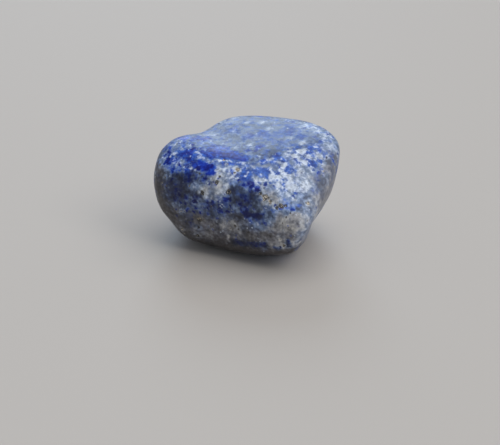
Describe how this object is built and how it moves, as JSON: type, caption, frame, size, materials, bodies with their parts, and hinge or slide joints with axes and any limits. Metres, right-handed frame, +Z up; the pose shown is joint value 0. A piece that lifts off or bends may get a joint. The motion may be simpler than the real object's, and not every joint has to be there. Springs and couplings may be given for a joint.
{
  "type": "tumbled lapis lazuli stone",
  "caption": "Tumbled, polished piece of lapis lazuli: a worn block with a flat sloping top, a broad front, an overhanging right side and a small flat base to rest on.",
  "frame": {"origin": "on the small flat that the stone rests on, under the middle of its bounding box", "axes": "+X along the stone's length, towards the overhanging right side; -Y towards the broad front; +Z up, out of the flat top"},
  "size_m": [0.0242, 0.0186, 0.0154],
  "materials": {
    "lapis": "tumble-polished satin, blue grains in white and grey, with small pits and brassy flecks"
  },
  "bodies": {
    "root": {"lapis_stone": "lapis"}
  },
  "joints": []
}
